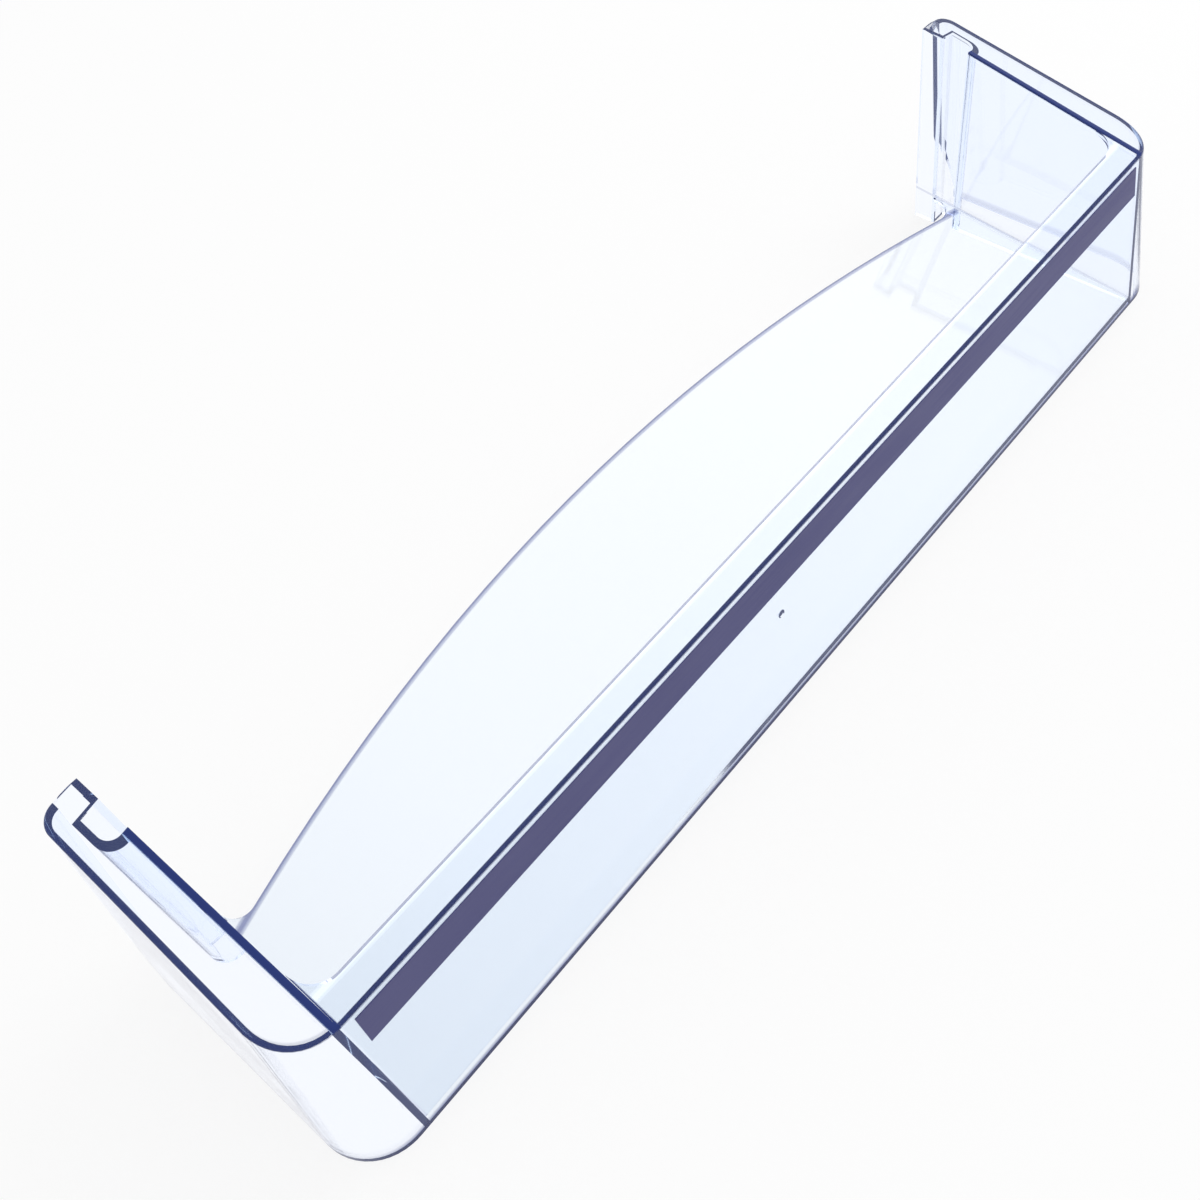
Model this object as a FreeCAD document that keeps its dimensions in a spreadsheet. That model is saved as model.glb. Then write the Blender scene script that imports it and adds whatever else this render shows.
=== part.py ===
"""Fridge door shelf: one clear moulding with hooked hollow ends, and the dark strip on its front.

Millimetres. X runs along the shelf, -Y is the front that faces the room, +Y faces the door, +Z is up.
The origin is at the middle of the space the shelf takes up, at the height of its feet.
"""
import FreeCAD, Part
import Sketcher
import os

SIZES = (
    ("shelf_length", 490, "over the feet of the two end skirts"),
    ("shelf_depth", 120.6, "front foot to the bulge of the floor"),
    ("end_depth", 117.8, "front foot to the rear of the ends, at the rim"),
    ("rear_lean", 7, "how far the ends' rear edges come forward at the feet"),
    ("rear_height", 97.4, "rim at the rear of the ends"),
    ("front_height", 74, "rim over the front wall"),
    ("front_lean", 11.2, "how far the front wall's top sits behind its foot"),
    ("skirt_lean", 4.8, "how far a skirt's top sits inside its foot"),
    ("wall", 2.2, "wall thickness"),
    ("end_foot_width", 25, "skirt foot to inner end wall, at the feet"),
    ("end_top_width", 20.5, "the same at the rear rim, from the skirt foot"),
    ("cap_drop", 3.2, "how far the cap falls from the inner wall to the skirt"),
    ("corner_radius", 20.5, "rounding of the two front corners"),
    ("rear_corner_radius", 6, "rounding of the skirts' rear corners"),
    ("rim_rounding", 1, "rounding over the outer edge of the rim"),
    ("hook_return", 7, "rear edge of a skirt turned inwards"),
    ("skirt_cut_height", 34.4, "sloping cut at the lower rear of each skirt"),
    ("skirt_cut_depth", 9.3, "sloping cut, along the depth"),
    ("groove_front", 34.4, "front face of the rib groove, at the rim"),
    ("groove_lean", 4, "how far that face comes forward at the feet"),
    ("groove_width", 12.6, "rib groove along the depth"),
    ("groove_depth", 7.5, "rib groove, outwards from the inner wall"),
    ("groove_radius", 5, "rounding of the groove's front corner"),
    ("flange_drop", 2, "rear flange's top under the rim"),
    ("floor_front_height", 3.4, "upper face of the floor at the front foot"),
    ("floor_rise", 0.11, "slope of the floor, up towards the door"),
    ("floor_thickness", 2.4, "floor plate"),
    ("floor_end", 29, "where the floor's rear edge meets the ends"),
    ("floor_corner", 12.5, "curved corner of the floor at each end, along the wall"),
    ("floor_corner_radius", 7, "curve of that corner"),
    ("floor_edge_round", 1, "rounding of the floor's rear edge"),
    ("lip_depth", 10.7, "lip from the wall's outer top edge inwards"),
    ("lip_radius", 10, "curve of the lip into the ends"),
    ("strip_inset", 26, "clear wall left past each end of the dark strip"),
    ("strip_height", 13.5, "dark strip, up the wall"),
    ("strip_drop", 2.6, "clear wall left over the strip"),
    ("strip_thickness", 0.4, "dark strip"),
    ("gate_radius", 1.6, "moulding gate mark inside the front wall"),
    ("gate_height", 44, "gate mark above the feet"),
    ("gate_offset", 28, "gate mark to the left of the middle"),
    ("gate_rise", 0.4, "gate mark off the wall"),
)

doc = FreeCAD.newDocument("door_shelf")
sheet = doc.addObject("Spreadsheet::Sheet", "sizes")
for row, (name, number, note) in enumerate(SIZES, start=1):
    sheet.set("A%d" % row, name)
    sheet.set("B%d" % row, str(number))
    sheet.set("C%d" % row, note)
    sheet.setAlias("B%d" % row, name)
doc.recompute()


def with_sheet(text):
    """The expression with each size written as a reference to the sheet."""
    for name in sorted((row[0] for row in SIZES), key=len, reverse=True):
        text = text.replace("[" + name + "]", "sizes." + name)
    return text


def number_of(text):
    """The expression's value at the sheet's present sizes, angles in degrees."""
    result = sheet.evalExpression(with_sheet(text))
    return float(getattr(result, "Value", result))


def new_body(name):
    return doc.addObject("PartDesign::Body", name)


def origin_plane(body, role):
    for item in body.Origin.OriginFeatures:
        if item.Role == role:
            return item
    raise ValueError(role)


def outline(body, name, role, corners, offset="0", bend=None, tilt=None):
    """A closed sketch through the corners, each held by two dimensions.

    bend makes one side an arc: (side, point on it, radius). tilt turns the sketch about X: (angle, up, off plane).
    """
    sketch = body.newObject("Sketcher::SketchObject", name)
    sketch.AttachmentSupport = [(origin_plane(body, role), "")]
    sketch.MapMode = "FlatFace"
    if tilt:
        turned = FreeCAD.Rotation(FreeCAD.Vector(1, 0, 0), number_of(tilt[0]))
        sketch.AttachmentOffset = FreeCAD.Placement(FreeCAD.Vector(0, 0, 0), turned)
        sketch.setExpression(".AttachmentOffset.Rotation.Angle", with_sheet(tilt[0]))
        sketch.setExpression(".AttachmentOffset.Base.y", with_sheet(tilt[1]))
        offset = tilt[2]
    sketch.setExpression(".AttachmentOffset.Base.z", with_sheet(offset))
    points = [FreeCAD.Vector(number_of(x), number_of(y), 0) for x, y in corners]
    count = len(points)
    for index in range(count):
        start, end = points[index], points[(index + 1) % count]
        if bend and bend[0] == index:
            middle = FreeCAD.Vector(number_of(bend[1][0]), number_of(bend[1][1]), 0)
            sketch.addGeometry(Part.Arc(start, middle, end), False)
        else:
            sketch.addGeometry(Part.LineSegment(start, end), False)
    ends = []
    for index in range(count):
        first, last = 1, 2
        if bend and bend[0] == index:
            arc = sketch.Geometry[index]
            if arc.StartPoint.distanceToPoint(points[index]) > 1e-6:
                first, last = 2, 1
        ends.append((first, last))
    for index in range(count):
        after = (index + 1) % count
        sketch.addConstraint(Sketcher.Constraint("Coincident", index, ends[index][1], after, ends[after][0]))
    for index, (x, y) in enumerate(corners):
        for kind, text in (("DistanceX", x), ("DistanceY", y)):
            value = number_of(text)
            number = sketch.addConstraint(Sketcher.Constraint(kind, -1, 1, index, ends[index][0], value))
            sketch.setExpression("Constraints[%d]" % number, with_sheet(text))
    if bend:
        radius = sketch.Geometry[bend[0]].Radius
        number = sketch.addConstraint(Sketcher.Constraint("Radius", bend[0], radius))
        sketch.setExpression("Constraints[%d]" % number, with_sheet(bend[2]))
    return sketch


def wedge(body, name, low, high, cut=False):
    """A flat-faced block between a plan box at the feet and one at the top: (x low, x high, y low, y high)."""
    kind = "PartDesign::SubtractiveWedge" if cut else "PartDesign::AdditiveWedge"
    feature = body.newObject(kind, name)
    feature.AttachmentSupport = [(origin_plane(body, "XZ_Plane"), "")]
    feature.MapMode = "FlatFace"
    places = (
        ("Xmin", low[0]), ("Xmax", low[1]), ("Zmin", "-(" + low[3] + ")"), ("Zmax", "-(" + low[2] + ")"),
        ("X2min", high[0]), ("X2max", high[1]), ("Z2min", "-(" + high[3] + ")"), ("Z2max", "-(" + high[2] + ")"),
        ("Ymin", "0"), ("Ymax", TOP))
    for side, text in places:
        setattr(feature, side, number_of(text))
    for side, text in places:
        feature.setExpression(side, with_sheet(text))
    doc.recompute()
    return feature


def pad(body, name, sketch, length, both_ways=False):
    feature = body.newObject("PartDesign::Pad", name)
    feature.Profile = sketch
    feature.Midplane = both_ways
    feature.setExpression("Length", with_sheet(length))
    doc.recompute()
    return feature


def pocket_both_ways(body, name, sketch, length):
    feature = body.newObject("PartDesign::Pocket", name)
    feature.Profile = sketch
    feature.Midplane = True
    feature.setExpression("Length", with_sheet(length))
    doc.recompute()
    return feature


def round_edges(body, name, source, radius, wanted):
    """Rounds the edges of a feature that the test accepts."""
    names = ["Edge%d" % (i + 1) for i, edge in enumerate(source.Shape.Edges) if wanted(edge)]
    feature = body.newObject("PartDesign::Fillet", name)
    feature.Base = (source, names)
    feature.setExpression("Radius", with_sheet(radius))
    doc.recompute()
    return feature


def middle_of(edge):
    return edge.valueAt((edge.FirstParameter + edge.LastParameter) / 2)


def is_upright(edge):
    ends = [vertex.Point for vertex in edge.Vertexes]
    return len(ends) == 2 and abs(ends[0].z - ends[1].z) > 20


# Places along the depth and the height, as expressions of the sheet
FRONT = "-[shelf_depth] / 2"
REAR = "(-[shelf_depth] / 2 + [end_depth])"
REAR_FOOT = "(-[shelf_depth] / 2 + [end_depth] - [rear_lean])"
GROOVE_FOOT = "([groove_front] - [groove_lean])"
GROOVE_END = "([groove_front] + [groove_width] - [rear_lean])"
TOP = "([rear_height] + 8)"
TOP_FRONT = "(-[shelf_depth] / 2 + [front_lean] * " + TOP + " / [front_height])"
WALL_TOP_Y = "(-[shelf_depth] / 2 + [front_lean])"
LIP_Y = "(-[shelf_depth] / 2 + [front_lean] + [lip_depth])"
SKIRT_FOOT = "[shelf_length] / 2"
SKIRT_TOP = "([shelf_length] / 2 - [skirt_lean] * " + TOP + " / [rear_height])"
BIN_FOOT = "([shelf_length] / 2 - [end_foot_width])"
BIN_TOP = ("([shelf_length] / 2 - [end_foot_width] + ([end_foot_width] - [end_top_width]) * "
           + TOP + " / [rear_height])")
BIN_RIM = "([shelf_length] / 2 - [end_top_width])"
RIM_SLOPE = "(([rear_height] - [front_height]) / (" + REAR + " - " + WALL_TOP_Y + "))"
LIP_HEIGHT = "([front_height] + [lip_depth] * " + RIM_SLOPE + ")"
CAP_SLOPE = "([cap_drop] / ([end_top_width] - [skirt_lean]))"
RIM_TILT = ("atan(" + RIM_SLOPE + ")", "[front_height]", "-(" + WALL_TOP_Y + ")")


def above_rim(drop):
    """Everything above the rim, seen along it: level over the bin and falling outwards over each end cap."""
    low = "-" + CAP_SLOPE + " * ([shelf_length] - " + BIN_RIM + ") - " + drop
    return (
        ("-[shelf_length]", low),
        ("-" + BIN_RIM, "-" + drop),
        (BIN_RIM, "-" + drop),
        ("[shelf_length]", low),
        ("[shelf_length]", "[rear_height]"),
        ("-[shelf_length]", "[rear_height]"),
    )


# Outer block: leaning front, flared ends, rounded corners, sloping rim
outer = new_body("outer_block")
outer_wedge = wedge(outer, "outer_wedge", ("-" + SKIRT_FOOT, SKIRT_FOOT, FRONT, REAR_FOOT),
                    ("-" + SKIRT_TOP, SKIRT_TOP, TOP_FRONT, REAR))
front_corners = round_edges(outer, "front_corners", outer_wedge, "[corner_radius]",
                            lambda edge: is_upright(edge) and middle_of(edge).y < 0)
rear_corners = round_edges(outer, "rear_corners", front_corners, "[rear_corner_radius]",
                           lambda edge: is_upright(edge) and middle_of(edge).y > 0)
over_rim = outline(outer, "over_rim", "XZ_Plane", above_rim("0"), tilt=RIM_TILT)
rim_cut = pocket_both_ways(outer, "rim_cut", over_rim, "[shelf_length] * 2")


def on_rim(edge):
    """True for the outer edge of the rim, all the way round but not across the open rear."""
    place = middle_of(edge)
    if place.z < number_of("[front_height] - 2 * [cap_drop]") or is_upright(edge):
        return False
    on_rear = all(vertex.Point.y > number_of(REAR) - 1.5 for vertex in edge.Vertexes)
    inside = abs(place.x) < number_of(BIN_RIM) + 0.5 and place.y > number_of(WALL_TOP_Y) + 1
    return not on_rear and not inside


round_edges(outer, "rim_edge", rim_cut, "[rim_rounding]", on_rim)

# Bin: the space for bottles, cut right through; the floor is added after
bin_space = new_body("bin_space")
wedge(bin_space, "bin_wedge", ("-" + BIN_FOOT, BIN_FOOT, FRONT + " + [wall]", REAR + " + 5"),
      ("-" + BIN_TOP, BIN_TOP, TOP_FRONT + " + [wall]", REAR + " + 5"))

# Hollow at the right end, where the door's lug goes in from below and behind
hollow = new_body("hook_hollow")
hollow_wedge = wedge(
    hollow, "hollow_wedge",
    (BIN_FOOT + " + [wall]", SKIRT_FOOT + " - [wall]", FRONT + " + [wall]", REAR_FOOT + " - [wall]"),
    (BIN_TOP + " + [wall]", SKIRT_TOP + " - [wall]", TOP_FRONT + " + [wall]", REAR + " - [wall]"))
hollow_corner = round_edges(hollow, "hollow_corner", hollow_wedge, "[corner_radius] - [wall]",
                            lambda edge: is_upright(edge) and middle_of(edge).y < 0
                            and middle_of(edge).x > number_of(SKIRT_TOP) - 6)
round_edges(hollow, "hollow_rear", hollow_corner, "[rear_corner_radius] - [wall]",
            lambda edge: is_upright(edge) and middle_of(edge).y > number_of(REAR_FOOT)
            and middle_of(edge).x > number_of(SKIRT_TOP) - 5)
wedge(hollow, "hollow_mouth",
      (BIN_FOOT + " + [wall]", SKIRT_FOOT + " - [hook_return]", REAR_FOOT + " - 2 * [wall]", REAR + " + 5"),
      (BIN_TOP + " + [wall]", SKIRT_TOP + " - [hook_return]", REAR + " - 2 * [wall]", REAR + " + 5"))
groove_wall = wedge(
    hollow, "groove_wall",
    (BIN_FOOT + " - 1", BIN_FOOT + " + [groove_depth] + [wall]", GROOVE_FOOT + " - [wall]", GROOVE_END + " + [wall]"),
    (BIN_TOP + " - 1", BIN_TOP + " + [groove_depth] + [wall]",
     "[groove_front] - [wall]", "[groove_front] + [groove_width] + [wall]"), cut=True)
round_edges(hollow, "groove_wall_corner", groove_wall, "[groove_radius] + [wall]",
            lambda edge: is_upright(edge) and middle_of(edge).x > number_of(BIN_FOOT + " + [groove_depth]")
            and abs(middle_of(edge).y - number_of("[groove_front] - [groove_lean] / 2 - [wall]")) < 2)
under_cap = outline(hollow, "under_cap", "XZ_Plane", above_rim("[wall]"), tilt=RIM_TILT)
pocket_both_ways(hollow, "cap_cut", under_cap, "[shelf_length] * 2")

# Groove for the door's upright rib, in the inner face of the right end
groove = new_body("rib_groove")
groove_wedge = wedge(
    groove, "groove_wedge",
    (BIN_FOOT + " - 6", BIN_FOOT + " + [groove_depth]", GROOVE_FOOT, GROOVE_END),
    (BIN_TOP + " - 6", BIN_TOP + " + [groove_depth]", "[groove_front]", "[groove_front] + [groove_width]"))
round_edges(groove, "groove_corner", groove_wedge, "[groove_radius]",
            lambda edge: is_upright(edge) and middle_of(edge).x > number_of(BIN_FOOT) + 4
            and middle_of(edge).y < number_of("[groove_front]") + 1)

# Step down of the rear flange behind the groove
flange_cut = new_body("flange_step")
step = outline(flange_cut, "step_profile", "YZ_Plane", (
    ("[groove_front] + [groove_width] - 1", "[rear_height] - [flange_drop]"),
    (REAR + " + 5", "[rear_height] - [flange_drop]"),
    (REAR + " + 5", "[rear_height] + 20"),
    ("[groove_front] + [groove_width] - 1", "[rear_height] + 20")), BIN_FOOT + " - 5")
pad(flange_cut, "step_block", step, "[end_foot_width] - [end_top_width] + 5 + [groove_depth]")

# Sloping cut at the lower rear of the right skirt
skirt_cut = new_body("skirt_cut")
slope = outline(skirt_cut, "slope_profile", "YZ_Plane", (
    (REAR_FOOT + " - [skirt_cut_depth]", "0"),
    (REAR_FOOT + " + [rear_lean] * [skirt_cut_height] / " + TOP, "[skirt_cut_height]"),
    (REAR + " + 5", "[skirt_cut_height]"),
    (REAR + " + 5", "-5"),
    (REAR_FOOT + " - [skirt_cut_depth]", "-5")), BIN_FOOT + " + [groove_depth] + [wall] + 1.5")
pad(skirt_cut, "slope_block", slope, "[shelf_length] / 2")

# The right end's cuts, and the same at the left
right_cuts = doc.addObject("Part::MultiFuse", "right_cuts")
right_cuts.Shapes = [hollow, groove, flange_cut, skirt_cut]
left_cuts = doc.addObject("Part::Mirroring", "left_cuts")
left_cuts.Source = right_cuts
left_cuts.Base = FreeCAD.Vector(0, 0, 0)
left_cuts.Normal = FreeCAD.Vector(1, 0, 0)
doc.recompute()

# Floor plate, its rear edge one long curve, with a small curved corner at each end
floor = new_body("floor_plate")
half = "(" + BIN_FOOT + " + [wall] * 0.8)"
inner_half = "(" + BIN_FOOT + " - 1)"
level = "sqrt(1 + [floor_rise] ^ 2)"
floor_end = "(([floor_end] - " + FRONT + ") * " + level + ")"
bulge = "([shelf_depth] * " + level + " - " + floor_end + ")"
plate = outline(floor, "floor_plan", "XY_Plane", (
    ("-" + half, "[wall] / 2 + [front_lean] * [floor_front_height] / [front_height]"),
    (half, "[wall] / 2 + [front_lean] * [floor_front_height] / [front_height]"),
    (half, floor_end + " + [floor_corner]"),
    (inner_half, floor_end + " + [floor_corner]"),
    (inner_half, floor_end),
    ("-" + inner_half, floor_end),
    ("-" + inner_half, floor_end + " + [floor_corner]"),
    ("-" + half, floor_end + " + [floor_corner]"),
), bend=(4, ("0", "[shelf_depth] * " + level), "(" + inner_half + "^2 + " + bulge + "^2) / (2 * " + bulge + ")"),
    tilt=("atan([floor_rise])", FRONT, "[floor_front_height] - [floor_thickness]"))
floor_pad = pad(floor, "floor_pad", plate, "[floor_thickness]")
floor_corners = round_edges(
    floor, "floor_corners", floor_pad, "[floor_corner_radius]",
    lambda edge: len(edge.Vertexes) == 2 and edge.Length < number_of("[floor_thickness]") + 0.01
    and abs(middle_of(edge).y - number_of("[floor_end]")) < 1
    and abs(middle_of(edge).x) < number_of(half) - 0.1)
round_edges(floor, "floor_edge", floor_corners, "[floor_edge_round]",
            lambda edge: edge.Length > 300 and middle_of(edge).y > number_of("[floor_end]"))

# Lip along the top of the front wall, curved into the ends
lip = new_body("front_lip")
lip_side = outline(lip, "lip_side", "YZ_Plane", (
    (WALL_TOP_Y + " + [wall] / 2", "[front_height] + [wall] / 2 * " + RIM_SLOPE),
    (LIP_Y + " + [lip_radius]", LIP_HEIGHT + " + [lip_radius] * " + RIM_SLOPE),
    (LIP_Y + " + [lip_radius]", LIP_HEIGHT + " + [lip_radius] * " + RIM_SLOPE + " - [wall]"),
    (WALL_TOP_Y + " + [wall] / 2", "[front_height] + [wall] / 2 * " + RIM_SLOPE + " - [wall]")))
lip_pad = pad(lip, "lip_pad", lip_side, BIN_FOOT + " + " + BIN_RIM + " + [wall]", True)
lip_cutter = new_body("lip_opening")
lip_half = "(" + BIN_FOOT + " / 2 + " + BIN_RIM + " / 2 + [wall] / 2)"
lip_open = outline(lip_cutter, "lip_open", "XY_Plane", (
    ("-" + lip_half, LIP_Y), (lip_half, LIP_Y),
    (lip_half, LIP_Y + " + 60"), ("-" + lip_half, LIP_Y + " + 60")), "[rear_height] / 2")
lip_block = pad(lip_cutter, "lip_block", lip_open, "[rear_height]")
round_edges(lip_cutter, "lip_curves", lip_block, "[lip_radius]",
            lambda edge: is_upright(edge) and middle_of(edge).y < number_of(LIP_Y) + 1)
shaped_lip = doc.addObject("Part::Cut", "shaped_lip")
shaped_lip.Base = lip
shaped_lip.Tool = lip_cutter
doc.recompute()

# Gate mark left by the mould, inside the front wall
gate = doc.addObject("Part::Cylinder", "gate_mark")
gate.setExpression("Radius", with_sheet("[gate_radius]"))
gate.setExpression("Height", with_sheet("[wall] / 2 + [gate_rise]"))
gate.setExpression(".Placement.Base.x", with_sheet("-[gate_offset]"))
gate.setExpression(".Placement.Base.y", with_sheet(
    FRONT + " + [front_lean] * [gate_height] / [front_height] + [wall] / 2"))
gate.setExpression(".Placement.Base.z", with_sheet("[gate_height]"))
gate.Placement.Rotation = FreeCAD.Rotation(FreeCAD.Vector(1, 0, 0), -90)
doc.recompute()

# Shelf: the shell left by the cuts, with floor, lip and gate mark joined on
cuts = doc.addObject("Part::MultiFuse", "all_cuts")
cuts.Shapes = [bin_space, right_cuts, left_cuts]
shell = doc.addObject("Part::Cut", "shell")
shell.Base = outer
shell.Tool = cuts
shelf = doc.addObject("Part::MultiFuse", "shelf")
shelf.Label = "shelf"
shelf.Shapes = [shell, floor, shaped_lip, gate]
shelf.Refine = True
shelf.Placement = FreeCAD.Placement()
doc.recompute()

# Dark strip, flat on the leaning outer face of the front wall
strip = new_body("strip")
strip.Label = "strip"
strip.Placement = FreeCAD.Placement()


def face_y(height, out="0"):
    """Depth of the front wall's outer face at a height, moved outwards."""
    return FRONT + " + [front_lean] * (" + height + ") / [front_height] - (" + out + ")"


upper = "[front_height] - [strip_drop]"
lower = "[front_height] - [strip_drop] - [strip_height]"
strip_side = outline(strip, "strip_side", "YZ_Plane", (
    (face_y(lower), lower), (face_y(upper), upper),
    (face_y(upper, "[strip_thickness]"), upper), (face_y(lower, "[strip_thickness]"), lower)))
pad(strip, "strip_pad", strip_side, "[shelf_length] - 2 * [strip_inset]", True)

# Sound results only, then one file for each piece
for item in doc.Objects:
    if "Invalid" in item.State or "Error" in item.State:
        raise RuntimeError("%s: %s" % (item.Name, item.State))
os.makedirs("parts", exist_ok=True)
for piece in (shelf, strip):
    if piece.Shape.isNull() or not piece.Shape.isValid() or len(piece.Shape.Solids) != 1:
        raise RuntimeError("%s is not one sound solid (%d)" % (piece.Label, len(piece.Shape.Solids)))
    piece.Shape.exportStep("parts/%s.step" % piece.Label)
    box = piece.Shape.BoundBox
    print("%s: x %.2f..%.2f y %.2f..%.2f z %.2f..%.2f, %.1f cm3" % (
        piece.Label, box.XMin, box.XMax, box.YMin, box.YMax, box.ZMin, box.ZMax, piece.Shape.Volume / 1000))
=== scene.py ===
"""Looks of the clear fridge door shelf: camera, clear plastic, dark strip, pale floor and soft light.

Metres, in the frame of the solids: X along the shelf, -Y towards the room, +Z up, origin between the feet.
"""

import bpy
from mathutils import Matrix, Vector

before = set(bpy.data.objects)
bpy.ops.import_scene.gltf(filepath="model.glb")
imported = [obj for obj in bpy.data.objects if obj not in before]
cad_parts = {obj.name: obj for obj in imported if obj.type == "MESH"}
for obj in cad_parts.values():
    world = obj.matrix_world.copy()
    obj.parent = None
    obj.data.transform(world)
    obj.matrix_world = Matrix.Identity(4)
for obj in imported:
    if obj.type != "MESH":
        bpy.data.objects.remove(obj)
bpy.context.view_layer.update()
scene = bpy.context.scene
scene.view_settings.view_transform = "Standard"


# Camera at the photograph's viewing angle: its right, down and forward directions, then its place
# Focal length and lens shift are in parts of a frame that is 1200 wide
RIGHT = Vector((0.64236, -0.76052, -0.09476))
DOWN = Vector((-0.63347, -0.45728, -0.62419))
FORWARD = Vector((0.43138, 0.46098, -0.77551))
PLACE = Vector((-0.24849, -0.21799, 0.44909))
FOCAL = 1407.57
SHIFT_RIGHT = -24
SHIFT_UP = -95
FRAME_SIZE = 1200
SENSOR_WIDTH = 36

# Places of the shelf's faces, as in the solids
# A lean is the shift in a metre of height, a rise the climb in a metre of depth
# The cap's fall is the drop in a metre towards the end of the shelf
HALF_LENGTH = 0.245
SKIRT_LEAN = 0.04928
FRONT_FOOT = -0.0603
FRONT_LEAN = 0.15135
BIN_FOOT = 0.22
BIN_LEAN = 0.0462
BIN_RIM = 0.2245
CORNER_RADIUS = 0.0205
RIM_FRONT = 0.074
RIM_FRONT_Y = -0.0491
RIM_RISE = 0.2195
CAP_FALL = 0.2038
GROOVE_FRONT = 0.0344
FLOOR_FRONT = 0.0034
FLOOR_RISE = 0.11
FLOOR_ARC_RADIUS = 0.7773
FLOOR_ARC_CENTRE = -0.7123
FLOOR_ARC_STRETCH = 1.006
LIP_EDGE = -0.0384

# Marks on the plastic, most of them by their distance from a face: painted shade along its edges, a painted
# highlight at the lip, and clearer end walls
# Each begins to fade at its first measure and has faded at its second
UPPER_FACE = (0.0007, 0.0012)
OUTER_FACE = (0.0006, 0.0012)
FRONT_RIM = (0.001, 0.0014)
FLOOR_FACE = (0.0004, 0.0008)
NEAR_FLOOR = (0.003, 0.0035)
FOOT = (0.0015, 0.0044)
FOOT_ENDS = (0.225, 0.242)
INSIDE_BIN = (-0.001, -0.0005)

# Marks that grow from their first measure and are full at their second
END_WALL = (-0.001, 0.0)
CAP = (0.2245, 0.2255)
LIP = (0.0704, 0.0714)

# Marks with two sides: from where to where each one reaches, and how softly it ends
INNER_RIM = (-0.0006, 0.0023)
OUTER_RIM = (-0.001, 0.0019)
FLOOR_EDGE = (-0.001, 0.0016)
FLOOR_JOINT = (-0.0008, 0.001)
LIP_HIGHLIGHT_LINE = (-0.0012, 0.0012)
CRISP = 0.0003
SOFT = 0.0004
SOFTEST = 0.0005

# How strong each painted mark is, where the painted shade of the inner rims counts as one
OUTER_RIM_SHARE = 0.25
FRONT_RIM_SHARE = 0.5
FOOT_SHARE = 0.25
FOOT_SHARE_AT_ENDS = 0.35
FLOOR_EDGE_SHARE = 0.75
FLOOR_JOINT_SHARE = 0.4
LIP_HIGHLIGHT_SHARE = 0.16

# Half the floor's width, how far it lies under the feet, and how white it is to the camera and in the plastic
FLOOR_REACH = 4.0
FLOOR_DROP = 0.0005
FLOOR_WHITE_SEEN = 0.85
FLOOR_WHITE_SHOWN = 0.97

# Light of the room, of a bright patch of its ceiling and of one lamp
# The patch's edge and middle are cosines of the angle from its direction
ROOM_LIGHT = 0.75
PATCH_LIGHT = 0.8
PATCH_DIRECTION = Vector((0.42, 0.28, 0.86)).normalized()
PATCH_EDGE = 0.88
PATCH_MIDDLE = 0.99
LAMP_PLACE = Vector((1.0, -0.05, 1.2))
LAMP_SIZE = (0.9, 0.6)
LAMP_WATTS = 6


def set_camera():
    lens = bpy.data.cameras.new("camera")
    lens.sensor_fit = "HORIZONTAL"
    lens.sensor_width = SENSOR_WIDTH
    lens.lens = FOCAL / FRAME_SIZE * SENSOR_WIDTH
    lens.shift_x = SHIFT_RIGHT / FRAME_SIZE
    lens.shift_y = SHIFT_UP / FRAME_SIZE
    lens.clip_start = 0.01
    camera = bpy.data.objects.new("camera", lens)
    scene.collection.objects.link(camera)
    turn = Matrix((RIGHT, -DOWN, -FORWARD)).transposed().to_4x4()
    camera.matrix_world = Matrix.Translation(PLACE) @ turn
    scene.camera = camera


class Wire:
    """A shader socket on which sums are written as plain expressions."""

    def __init__(self, sheet, socket):
        self.sheet = sheet
        self.socket = socket

    def math(self, operation, *values):
        return self.sheet.add("ShaderNodeMath", {"operation": operation}, values)

    def beside(self, output):
        """Another output of the same node."""
        return Wire(self.sheet, self.socket.node.outputs[output])

    def __add__(self, other):
        return self.math("ADD", self, other)

    def __sub__(self, other):
        return self.math("SUBTRACT", self, other)

    def __rsub__(self, other):
        return self.math("SUBTRACT", other, self)

    def __mul__(self, other):
        return self.math("MULTIPLY", self, other)

    def __pow__(self, other):
        return self.math("POWER", self, other)

    def __abs__(self):
        return self.math("ABSOLUTE", self)

    def at_least(self, other):
        return self.math("MAXIMUM", self, other)

    def at_most(self, other):
        return self.math("MINIMUM", self, other)

    def rise(self, low, high, out_low=0.0, out_high=1.0):
        """A smooth step from one value to another."""
        return self.sheet.add("ShaderNodeMapRange", {"interpolation_type": "SMOOTHSTEP"}, {
            "Value": self, "From Min": low, "From Max": high, "To Min": out_low, "To Max": out_high})

    def fall(self, low, high, lowest=0.0):
        """A smooth step down from one."""
        return self.rise(low, high, 1.0, lowest)

    def within(self, low, high, soft=CRISP):
        """One between two values and nought outside them, with soft ends."""
        return self.rise(low - soft, low + soft) * self.fall(high - soft, high + soft)

    __radd__ = __add__
    __rmul__ = __mul__


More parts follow.
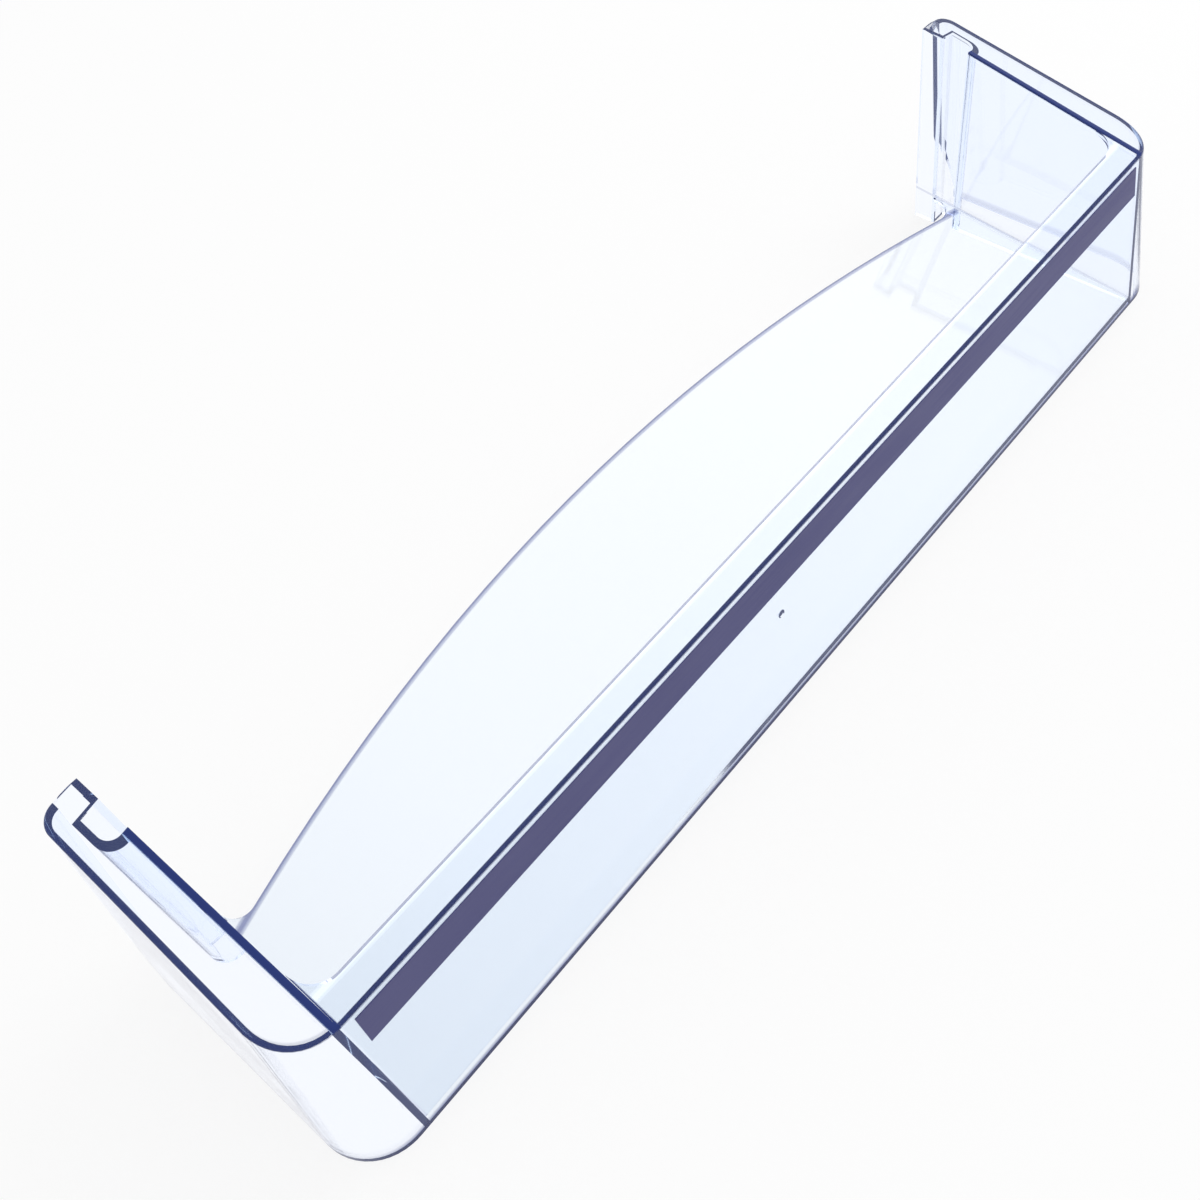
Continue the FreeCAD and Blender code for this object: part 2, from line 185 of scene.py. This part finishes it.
class Finish:
    """The node tree of a material or world, and the one way in which its nodes are added."""

    def __init__(self, owner):
        owner.use_nodes = True
        self.tree = owner.node_tree
        self.tree.nodes.clear()

    def put(self, socket, value):
        if isinstance(value, Wire):
            self.tree.links.new(value.socket, socket)
        else:
            socket.default_value = value

    def add(self, kind, settings=None, values=(), output=0):
        node = self.tree.nodes.new(kind)
        for name, setting in (settings or {}).items():
            setattr(node, name, setting)
        pairs = values.items() if isinstance(values, dict) else enumerate(values)
        for key, value in pairs:
            self.put(node.inputs[key], value)
        return Wire(self, node.outputs[output]) if node.outputs else None

    def noise(self, place, scale, detail=2.0, rough=0.5):
        return self.add("ShaderNodeTexNoise", values={
            "Vector": place, "Scale": scale, "Detail": detail, "Roughness": rough})

    def split(self, vector):
        across = self.add("ShaderNodeSeparateXYZ", values=[vector])
        return across, across.beside(1), across.beside(2)

    def blend(self, amount, first, second):
        return self.add("ShaderNodeMix", {"data_type": "RGBA"}, {0: amount, 6: first, 7: second}, 2)


def past_end_wall(along, height):
    """How far a point lies outwards of the inner face of the end walls."""
    return along - (BIN_FOOT + BIN_LEAN * height)


def in_from_outline(along, depth, height):
    """How far a point lies inside the rounded outer face of front and skirts."""
    out_x = along - (HALF_LENGTH - CORNER_RADIUS - SKIRT_LEAN * height)
    out_y = (FRONT_FOOT + CORNER_RADIUS) + FRONT_LEAN * height - depth
    corner = (out_x.at_least(0.0) ** 2.0 + out_y.at_least(0.0) ** 2.0) ** 0.5
    return CORNER_RADIUS - corner - out_x.at_least(out_y).at_most(0.0)


def rim_painted_shade(along, depth, height, past_wall, inwards):
    """Painted shade on the rims of end walls, skirts and front wall, on their upper faces only."""
    cap_fall = CAP_FALL * (along - BIN_RIM).at_least(0.0)
    under_rim = (RIM_FRONT - RIM_RISE * RIM_FRONT_Y) + RIM_RISE * depth - cap_fall - height
    before_groove = depth.fall(GROOVE_FRONT - 2 * CRISP, GROOVE_FRONT)
    inner_rim = past_wall.within(*INNER_RIM) * before_groove
    outer_rim = inwards.within(*OUTER_RIM, SOFT) * along.rise(*CAP)
    front_rim = inwards.fall(*FRONT_RIM)
    rims = inner_rim.at_least(OUTER_RIM_SHARE * outer_rim).at_least(FRONT_RIM_SHARE * front_rim)
    return under_rim.fall(*UPPER_FACE) * rims


def foot_painted_shade(along, height, inwards):
    """Painted shade on the lowest millimetres of the outer face, fainter round the ends."""
    return inwards.fall(*OUTER_FACE) * height.fall(*FOOT) * along.fall(*FOOT_ENDS, FOOT_SHARE_AT_ENDS)


def floor_painted_shades(side, depth, height, past_wall, in_bin):
    """Painted shade along the floor's bulging rear edge, and along the line where the floor joins the end
    walls.
    """
    off_floor = abs(height - (FLOOR_FRONT + FLOOR_RISE * (depth - FRONT_FOOT)))
    arc = (side ** 2.0 + (FLOOR_ARC_STRETCH * (depth - FLOOR_ARC_CENTRE)) ** 2.0) ** 0.5
    floor_edge = (FLOOR_ARC_RADIUS - arc).within(*FLOOR_EDGE, SOFTEST) * off_floor.fall(*NEAR_FLOOR) * in_bin
    floor_joint = off_floor.fall(*FLOOR_FACE) * past_wall.within(*FLOOR_JOINT)
    return floor_edge, floor_joint


def edge_masks(sheet, place):
    """Where the plastic shows painted shade on its rims and on fine edges, clearer ends, and a painted
    highlight line at the lip.
    """
    side, depth, height = sheet.split(place)
    along = abs(side)
    past_wall = past_end_wall(along, height)
    inwards = in_from_outline(along, depth, height)
    in_bin = past_wall.fall(*INSIDE_BIN)
    foot = foot_painted_shade(along, height, inwards)
    floor_edge, floor_joint = floor_painted_shades(side, depth, height, past_wall, in_bin)
    # Painted shade: the rims darkest, and the fine lines of floor edge, floor joint and foot fainter
    painted_shade_rims = rim_painted_shade(along, depth, height, past_wall, inwards).at_least(FOOT_SHARE * foot)
    fine = (FLOOR_EDGE_SHARE * floor_edge).at_least(FLOOR_JOINT_SHARE * floor_joint).at_least(foot)
    # A painted highlight line along the lip's edge
    lip_highlight = (depth - LIP_EDGE).within(*LIP_HIGHLIGHT_LINE) * height.rise(*LIP) * in_bin
    return painted_shade_rims, fine, past_wall.rise(*END_WALL), LIP_HIGHLIGHT_SHARE * lip_highlight


def clear_plastic():
    """Clear moulded plastic, a little blue, with painted shade darker towards one end and painted navy shade
    at its edges, a faint painted glow, a painted highlight at the lip, and the ripple that moulding leaves.
    """
    material = bpy.data.materials.new("clear_plastic")
    material.cycles.emission_sampling = "NONE"
    sheet = Finish(material)
    place = sheet.add("ShaderNodeTexCoord", output="Object")
    flow = sheet.noise(place, 9.0)
    haze = sheet.noise(place, 60.0, 3.0)
    painted_shade_rims, fine, ends, painted_lip_highlight = edge_masks(sheet, place)

    # Painted shade, bluer and darker towards one end as the light fell; clearer on the end walls and caps;
    # painted dark blue shade along the fine edges
    painted_shade_fades_right = (sheet.split(place)[0] + 0.06 * flow).rise(-0.3, 0.2)
    tint = sheet.blend(painted_shade_fades_right, (0.83, 0.875, 0.91, 1), (0.935, 0.96, 0.98, 1))
    tint = sheet.blend(ends, tint, (0.95, 0.97, 1.0, 1))
    tint = sheet.blend(fine, tint, (0.06, 0.085, 0.3, 1))

    # A faint painted glow of blue light stands in for what thick edges gather, and a brighter painted
    # highlight runs along the lip's edge
    painted_glow = sheet.blend(painted_lip_highlight, (0.0027, 0.0049, 0.018, 1), (0.7, 0.72, 0.85, 1))
    ripple = sheet.add("ShaderNodeBump", values={
        "Strength": 0.05, "Distance": 0.001, "Height": sheet.noise(place, 25.0, 1.0)})
    body = sheet.add("ShaderNodeBsdfPrincipled", values={
        "Base Color": tint,
        "Roughness": haze.rise(0.3, 0.7, 0.015, 0.05),
        "IOR": 1.49,
        "Transmission Weight": 1.0,
        "Emission Color": painted_glow,
        "Emission Strength": 1.0,
        "Normal": ripple})
    # Opaque navy painted shade, with a faint painted blue glow, laid over the rims where the plastic's edges
    # look dark by internal reflection
    edge = sheet.add("ShaderNodeBsdfPrincipled", values={
        "Base Color": (0.013, 0.028, 0.15, 1),
        "Roughness": 0.4,
        "Specular IOR Level": 0.2,
        "Emission Color": (0.13, 0.25, 1.0, 1),
        "Emission Strength": 0.03})
    both = sheet.add("ShaderNodeMixShader", values={0: painted_shade_rims, 1: body, 2: edge})
    inside = sheet.add("ShaderNodeVolumeAbsorption", values={"Color": (0.3, 0.6, 0.95, 1), "Density": 10.0})
    sheet.add("ShaderNodeOutputMaterial", values={"Surface": both, "Volume": inside})
    return material


def dark_strip():
    """Slate purple film with a fine satin grain along its length."""
    material = bpy.data.materials.new("dark_strip")
    sheet = Finish(material)
    place = sheet.add("ShaderNodeTexCoord", output="Object")
    drawn_out = sheet.add("ShaderNodeMapping", values={"Vector": place, "Scale": (30.0, 900.0, 900.0)})
    grain = sheet.noise(drawn_out, 1.0, 3.0)
    cloud = sheet.noise(place, 14.0)
    colour = sheet.blend(
        (cloud + 0.3 * grain).rise(0.5, 0.8), (0.068, 0.068, 0.2, 1), (0.08, 0.08, 0.215, 1))
    satin = sheet.add("ShaderNodeBsdfPrincipled", values={
        "Base Color": colour,
        "Roughness": grain.rise(0.3, 0.7, 0.38, 0.5),
        "Specular IOR Level": 0.3,
        "Normal": sheet.add("ShaderNodeBump", values={
            "Strength": 0.15, "Distance": 0.0001, "Height": grain})})
    sheet.add("ShaderNodeOutputMaterial", values={"Surface": satin})
    return material


def lookers(sheet):
    """One for what the camera, a gloss, or a view through the clear plastic sees of the surroundings."""
    camera = sheet.add("ShaderNodeLightPath", output="Is Camera Ray")
    return camera, camera.beside("Is Glossy Ray"), camera.beside("Is Transmission Ray")


def pale_floor():
    """White floor that keeps part of the shelf's shadow."""
    corners = [(side * FLOOR_REACH, depth * FLOOR_REACH, -FLOOR_DROP)
               for side, depth in ((-1, -1), (1, -1), (1, 1), (-1, 1))]
    mesh = bpy.data.meshes.new("floor")
    mesh.from_pydata(corners, [], [(0, 1, 2, 3)])
    floor = bpy.data.objects.new("floor", mesh)
    scene.collection.objects.link(floor)
    material = bpy.data.materials.new("paper")
    sheet = Finish(material)
    paper = sheet.add("ShaderNodeBsdfDiffuse", values={"Color": (0.97, 0.97, 0.97, 1)})
    white = sheet.add("ShaderNodeEmission", values={"Color": (1, 1, 1, 1), "Strength": 1.0})
    camera, gloss, through = lookers(sheet)
    whitened = (FLOOR_WHITE_SEEN * camera).at_least(FLOOR_WHITE_SHOWN * gloss.at_least(through))
    both = sheet.add("ShaderNodeMixShader", values={0: whitened, 1: paper, 2: white})
    sheet.add("ShaderNodeOutputMaterial", values={"Surface": both})
    mesh.materials.append(material)


def white_room():
    """White surroundings, with a soft bright patch of ceiling that only glosses show."""
    world = bpy.data.worlds.new("studio")
    scene.world = world
    sheet = Finish(world)
    camera, gloss, through = lookers(sheet)
    shown = camera.at_least(gloss).at_least(through)
    nearness = sheet.add("ShaderNodeVectorMath", {"operation": "DOT_PRODUCT"}, {
        0: sheet.add("ShaderNodeTexCoord"), 1: PATCH_DIRECTION}, "Value")
    patch = gloss * nearness.rise(PATCH_EDGE, PATCH_MIDDLE)
    strength = ROOM_LIGHT + (1 - ROOM_LIGHT) * shown + PATCH_LIGHT * patch
    room = sheet.add("ShaderNodeBackground", values={"Color": (1, 1, 1, 1), "Strength": strength})
    sheet.add("ShaderNodeOutputWorld", values={"Surface": room})


def soft_lamp():
    """One soft lamp that casts the shadow and has no reflection of its own."""
    lamp = bpy.data.lights.new("soft_lamp", "AREA")
    lamp.shape = "RECTANGLE"
    lamp.size, lamp.size_y = LAMP_SIZE
    lamp.energy = LAMP_WATTS
    light = bpy.data.objects.new("soft_lamp", lamp)
    light.visible_glossy = False
    light.visible_transmission = False
    turn = (-LAMP_PLACE).to_track_quat("-Z", "Y").to_matrix().to_4x4()
    light.matrix_world = Matrix.Translation(LAMP_PLACE) @ turn
    scene.collection.objects.link(light)


set_camera()
for node, material in (("shelf", clear_plastic()), ("strip", dark_strip())):
    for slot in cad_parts[node].material_slots:
        slot.material = material
pale_floor()
white_room()
soft_lamp()
